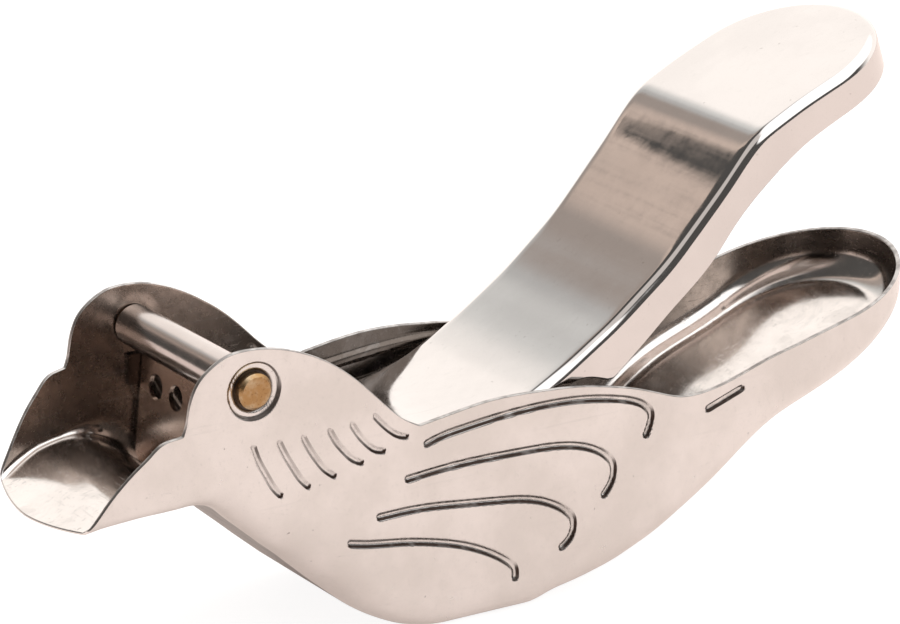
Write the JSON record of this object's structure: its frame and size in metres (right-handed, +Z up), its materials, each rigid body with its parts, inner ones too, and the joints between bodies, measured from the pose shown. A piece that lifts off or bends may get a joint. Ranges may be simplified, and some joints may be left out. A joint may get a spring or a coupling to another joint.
{
  "type": "hand citrus squeezer",
  "caption": "Bird-shaped pressed-steel hand citrus squeezer: open trough with a strainer and a hinged lever that presses a wedge so the juice runs out of the beak.",
  "frame": {"origin": "centre of the small flat under the belly that the squeezer rests on", "axes": "+X from the beak to the tail, +Y to the bird's left side wall, +Z up"},
  "size_m": [0.1752, 0.0438, 0.0911],
  "materials": {
    "body_steel": "tumbled, satin",
    "plate_steel": "mill",
    "lever_steel": "buffed",
    "sleeve_steel": "drawn, bright",
    "pin_brass": "worn"
  },
  "bodies": {
    "body": {"body_shell": "body_steel", "strainer_plate": "plate_steel", "pivot_pin": "pin_brass"},
    "lever_arm": {"lever": "lever_steel", "pivot_sleeve": "sleeve_steel"}
  },
  "joints": [
    {"name": "lever_hinge", "type": "hinge", "parent": "body", "child": "lever_arm", "pos_m": [-0.047, 0, 0.0504], "axis": [0, 1, 0], "range_deg": [-55, 10]}
  ]
}
